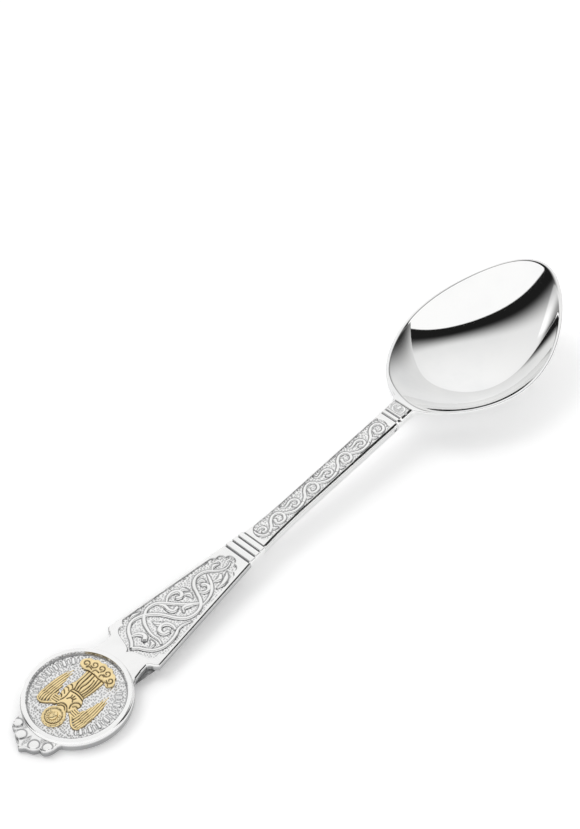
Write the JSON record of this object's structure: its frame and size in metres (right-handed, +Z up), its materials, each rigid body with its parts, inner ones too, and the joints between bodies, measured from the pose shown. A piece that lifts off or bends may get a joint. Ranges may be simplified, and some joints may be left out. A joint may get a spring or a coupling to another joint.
{
  "type": "souvenir spoon",
  "caption": "Silver souvenir teaspoon with a deep oval bowl, a scroll-chased stem and panel, and a round medallion bearing a gilded winged figure.",
  "frame": {"origin": "middle of the spoon's length and width, on the surface it lies on", "axes": "+X along the spoon from the pointed handle end towards the bowl's tip, +Z up out of the open bowl"},
  "size_m": [0.14, 0.0294, 0.0162],
  "materials": {
    "polished_silver": "mirror polished silver",
    "relief_silver": "polished raised silver",
    "gilding": "pale satin gold plate"
  },
  "bodies": {
    "root": {"bowl": "polished_silver", "neck_collar": "polished_silver", "neck_bud": "polished_silver", "stem": "polished_silver", "stem_scroll": "relief_silver", "mid_collar": "polished_silver", "panel": "polished_silver", "panel_vine": "relief_silver", "medallion_disc": "polished_silver", "medallion_bars": "relief_silver", "angel_halo": "gilding", "angel_head": "gilding", "angel_robe": "gilding", "angel_wing_left": "gilding", "angel_wing_right": "gilding", "cloud_bank": "gilding", "finial": "polished_silver", "finial_scrolls": "relief_silver"}
  },
  "joints": []
}
